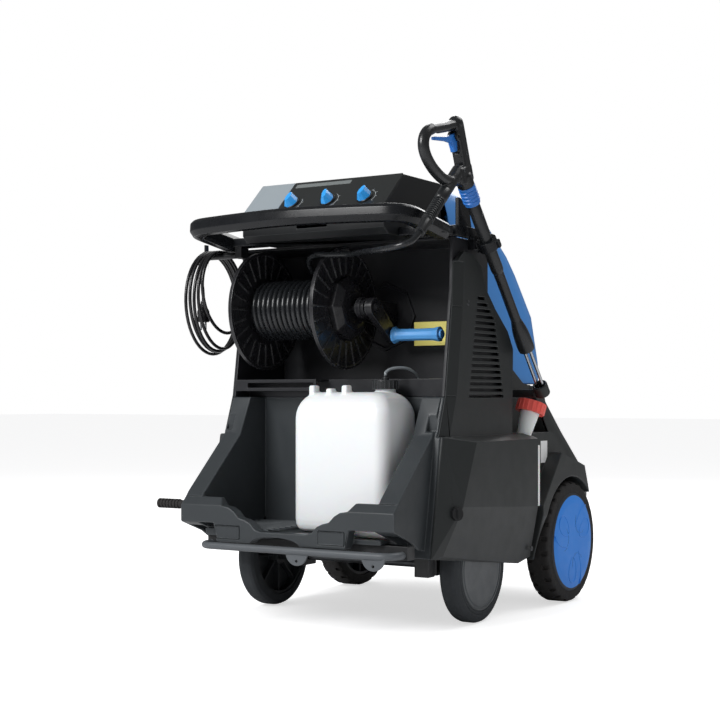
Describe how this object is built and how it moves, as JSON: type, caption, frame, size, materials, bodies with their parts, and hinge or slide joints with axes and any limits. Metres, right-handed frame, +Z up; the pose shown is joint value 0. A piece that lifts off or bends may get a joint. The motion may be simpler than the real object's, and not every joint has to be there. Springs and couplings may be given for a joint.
{
  "type": "pressure washer",
  "caption": "Mobile hot-water pressure washer with hose reel and crank, spray gun and lance in its holder, push handle, canister tray, hinged hood and four wheels.",
  "frame": {"origin": "centre of the machine's outline on the floor", "axes": "+Z up, -Y towards the operator who stands at the push handle and reel, +X to the operator's right"},
  "size_m": [0.712, 1.08, 1.118],
  "materials": {
    "frame_steel": "satin",
    "tube_grey": "satin",
    "dark_moulding": "matte",
    "blue_moulding": "satin",
    "black_plastic": "matte",
    "light_panel": "satin",
    "hose_rubber": "satin",
    "stainless": "brushed",
    "natural_plastic": "satin",
    "red_plastic": "satin",
    "brass": "satin",
    "grey_tyre": "matte",
    "grey_rim": "matte",
    "black_tyre": "matte",
    "cast_housing": "matte"
  },
  "bodies": {
    "machine": {"chassis_frame": "frame_steel", "front_bumper": "tube_grey", "axles": "frame_steel", "front_tray": "dark_moulding", "reel_recess": "dark_moulding", "side_cover_right": "dark_moulding", "side_cover_left": "dark_moulding", "rear_body": "dark_moulding", "console_housing": "dark_moulding", "console_fascia": "black_plastic", "console_corner_panel": "light_panel", "push_handle": "dark_moulding", "cable_hook": "frame_steel", "reel_supports": "black_plastic", "gun_body": "black_plastic", "lance_grip": "black_plastic", "lance_sleeve": "black_plastic", "lance_pipes": "stainless", "lance_holder": "black_plastic", "bend_sleeve": "hose_rubber", "spray_hose": "hose_rubber", "canister": "natural_plastic", "suction_hose": "natural_plastic", "side_tank": "natural_plastic", "side_peg": "black_plastic", "water_inlet": "brass", "cable_gland": "black_plastic", "mains_cable": "hose_rubber", "mains_plug": "black_plastic", "filter_bowl": "natural_plastic", "motor": "cast_housing", "pump": "stainless", "boiler": "stainless", "burner_blower": "cast_housing"},
    "reel": {"reel_drum": "black_plastic", "reel_flange_left": "black_plastic", "reel_flange_right": "black_plastic", "reel_hub_cover": "black_plastic", "hose_winding": "hose_rubber", "crank_arm": "black_plastic"},
    "crank_grip": {"crank_grip": "blue_moulding"},
    "front_wheel_right": {"front_tyre_right": "grey_tyre", "front_rim_right": "grey_rim"},
    "front_wheel_left": {"front_tyre_left": "grey_tyre", "front_rim_left": "grey_rim"},
    "rear_wheel_right": {"rear_tyre_right": "black_tyre", "rear_rim_right": "blue_moulding"},
    "rear_wheel_left": {"rear_tyre_left": "black_tyre", "rear_rim_left": "blue_moulding"},
    "knob_left": {"knob_left": "blue_moulding"},
    "knob_middle": {"knob_middle": "blue_moulding"},
    "knob_right": {"knob_right": "blue_moulding"},
    "gun_trigger": {"gun_trigger": "blue_moulding"},
    "lance_collar": {"lance_collar": "blue_moulding"},
    "hood": {"hood": "blue_moulding"},
    "latch_right": {"latch_right": "black_plastic"},
    "latch_left": {"latch_left": "black_plastic"},
    "canister_cap": {"canister_cap": "black_plastic"},
    "side_tank_cap": {"side_tank_cap": "red_plastic"}
  },
  "joints": [
    {"name": "reel_turn", "type": "hinge", "parent": "machine", "child": "reel", "pos_m": [-0.1165, -0.268, 0.717], "axis": [1, 0, 0], "continuous": true},
    {"name": "crank_grip_turn", "type": "hinge", "parent": "reel", "child": "crank_grip", "pos_m": [0.145, -0.189, 0.656], "axis": [1, 0, 0], "continuous": true},
    {"name": "front_wheel_right_turn", "type": "hinge", "parent": "machine", "child": "front_wheel_right", "pos_m": [0.276, -0.165, 0.125], "axis": [1, 0, 0], "continuous": true},
    {"name": "rear_wheel_right_turn", "type": "hinge", "parent": "machine", "child": "rear_wheel_right", "pos_m": [0.306, 0.259, 0.15], "axis": [1, 0, 0], "continuous": true},
    {"name": "front_wheel_left_turn", "type": "hinge", "parent": "machine", "child": "front_wheel_left", "pos_m": [-0.276, -0.165, 0.125], "axis": [1, 0, 0], "continuous": true},
    {"name": "rear_wheel_left_turn", "type": "hinge", "parent": "machine", "child": "rear_wheel_left", "pos_m": [-0.306, 0.259, 0.15], "axis": [1, 0, 0], "continuous": true},
    {"name": "knob_left_turn", "type": "hinge", "parent": "machine", "child": "knob_left", "pos_m": [-0.067, -0.38894, 0.94769], "axis": [0, -0.6852, 0.7284], "range_deg": [-30, 240]},
    {"name": "knob_middle_turn", "type": "hinge", "parent": "machine", "child": "knob_middle", "pos_m": [0.03, -0.38894, 0.94769], "axis": [0, -0.6852, 0.7284], "range_deg": [-30, 240]},
    {"name": "knob_right_turn", "type": "hinge", "parent": "machine", "child": "knob_right", "pos_m": [0.127, -0.38894, 0.94769], "axis": [0, -0.6852, 0.7284], "range_deg": [-30, 240]},
    {"name": "trigger_pull", "type": "hinge", "parent": "machine", "child": "gun_trigger", "pos_m": [0.325, -0.34679, 1.07085], "axis": [-1, 0, 0], "range_deg": [0, 3.5], "stiffness_Nm_per_rad": 0.6, "springref_deg": -11.46},
    {"name": "lance_collar_turn", "type": "hinge", "parent": "machine", "child": "lance_collar", "pos_m": [0.325, -0.2741, 0.95503], "axis": [0, -0.6626, 0.749], "range_deg": [-90, 90]},
    {"name": "hood_swing", "type": "hinge", "parent": "machine", "child": "hood", "pos_m": [0, 0.412, 0.541], "axis": [-1, 0, 0], "range_deg": [0, 60]},
    {"name": "latch_right_turn", "type": "hinge", "parent": "machine", "child": "latch_right", "pos_m": [0.3225, -0.3326, 0.2591], "axis": [0.9099, -0.408, 0.075], "range_deg": [0, 90]},
    {"name": "latch_left_turn", "type": "hinge", "parent": "machine", "child": "latch_left", "pos_m": [-0.3225, -0.3326, 0.2591], "axis": [-0.9099, -0.408, 0.075], "range_deg": [-90, 0]},
    {"name": "canister_cap_turn", "type": "hinge", "parent": "machine", "child": "canister_cap", "pos_m": [0.135, -0.315, 0.53], "axis": [0, 0, 1], "range_deg": [0, 360]},
    {"name": "side_tank_cap_turn", "type": "hinge", "parent": "machine", "child": "side_tank_cap", "pos_m": [0.29978, 0.09143, 0.4787], "axis": [0.1504, 0.2756, 0.9494], "range_deg": [0, 360]}
  ]
}
